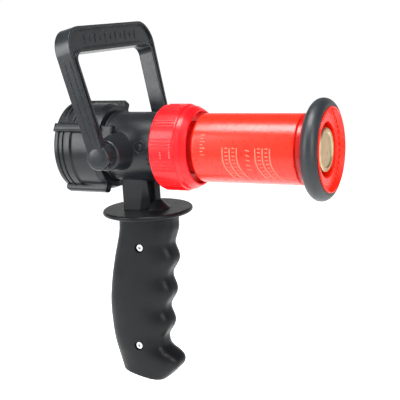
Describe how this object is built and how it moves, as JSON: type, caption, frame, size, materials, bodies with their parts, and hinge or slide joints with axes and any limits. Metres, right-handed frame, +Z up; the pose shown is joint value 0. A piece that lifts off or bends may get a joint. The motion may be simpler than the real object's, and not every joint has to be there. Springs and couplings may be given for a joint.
{
  "type": "fire hose nozzle",
  "caption": "Pistol-grip fire hose nozzle: swivel inlet coupling, swinging bail ball shut-off, twist fog sleeve with rubber bumper, round hand guard and finger-groove grip.",
  "frame": {"origin": "centre of the inlet coupling's rear face, on the waterway axis", "axes": "+X is the way the water leaves, +Z is up towards the bail, the grip hangs towards -Z, -Y is the side with the grip screw heads"},
  "size_m": [0.2197, 0.1272, 0.2934],
  "materials": {
    "black_plastic": "moulded glass-filled nylon, satin",
    "bail_plastic": "moulded nylon, satin",
    "grip_plastic": "moulded nylon, fine grain",
    "red_collar": "moulded polycarbonate, gloss",
    "red_sleeve": "translucent-looking red polycarbonate, gloss",
    "red_inner": "moulded polycarbonate",
    "red_teeth": "moulded polycarbonate",
    "bumper_rubber": "smooth moulded rubber",
    "seal_rubber": "nitrile seal rubber",
    "seat_white": "low-friction seat plastic",
    "seat_retainer": "moulded nylon",
    "ball_finish": "polished moulded ball",
    "steel": "stainless steel",
    "brass": "dull brass"
  },
  "bodies": {
    "valve": {"valve_body": "black_plastic", "inlet_gasket": "seal_rubber", "swivel_balls": "steel", "swivel_oring": "seal_rubber", "rear_ball_seat": "seat_white", "front_ball_seat": "seat_white", "seat_retainer": "seat_retainer", "hand_guard": "grip_plastic", "grip_shell_near": "grip_plastic", "grip_shell_far": "grip_plastic", "grip_screws": "steel", "grip_nuts": "steel", "base_collar": "red_collar", "collar_gasket": "seal_rubber", "nozzle_barrel": "red_inner", "baffle_spider": "brass", "baffle_stem": "brass", "stem_nut": "brass", "baffle_disc": "brass"},
    "coupling": {"inlet_coupling": "black_plastic"},
    "bail": {"bail_handle": "bail_plastic", "trunnion_near": "steel", "trunnion_far": "steel", "trunnion_orings": "seal_rubber", "bail_washers": "black_plastic", "shutoff_ball": "ball_finish"},
    "sleeve_seal": {"sleeve_oring": "seal_rubber"},
    "sleeve": {"pattern_sleeve": "red_sleeve", "cam_pins": "steel", "fog_teeth_ring": "red_teeth", "rubber_bumper": "bumper_rubber"}
  },
  "joints": [
    {"name": "inlet_swivel", "type": "hinge", "parent": "valve", "child": "coupling", "pos_m": [0, 0, 0], "axis": [1, 0, 0], "continuous": true},
    {"name": "bail_swing", "type": "hinge", "parent": "valve", "child": "bail", "pos_m": [0.054, 0, 0], "axis": [0, 1, 0], "range_deg": [-32.4, 57.6]},
    {"name": "sleeve_advance", "type": "slide", "parent": "valve", "child": "sleeve_seal", "axis": [1, 0, 0], "range_m": [0, 0.009]},
    {"name": "sleeve_turn", "type": "hinge", "parent": "sleeve_seal", "child": "sleeve", "pos_m": [0.131, 0, 0], "axis": [1, 0, 0], "range_deg": [0, 180]}
  ],
  "couplings": [
    {"joint": "sleeve_advance", "follows": "sleeve_turn", "m_per_rad": 0.0028647}
  ]
}
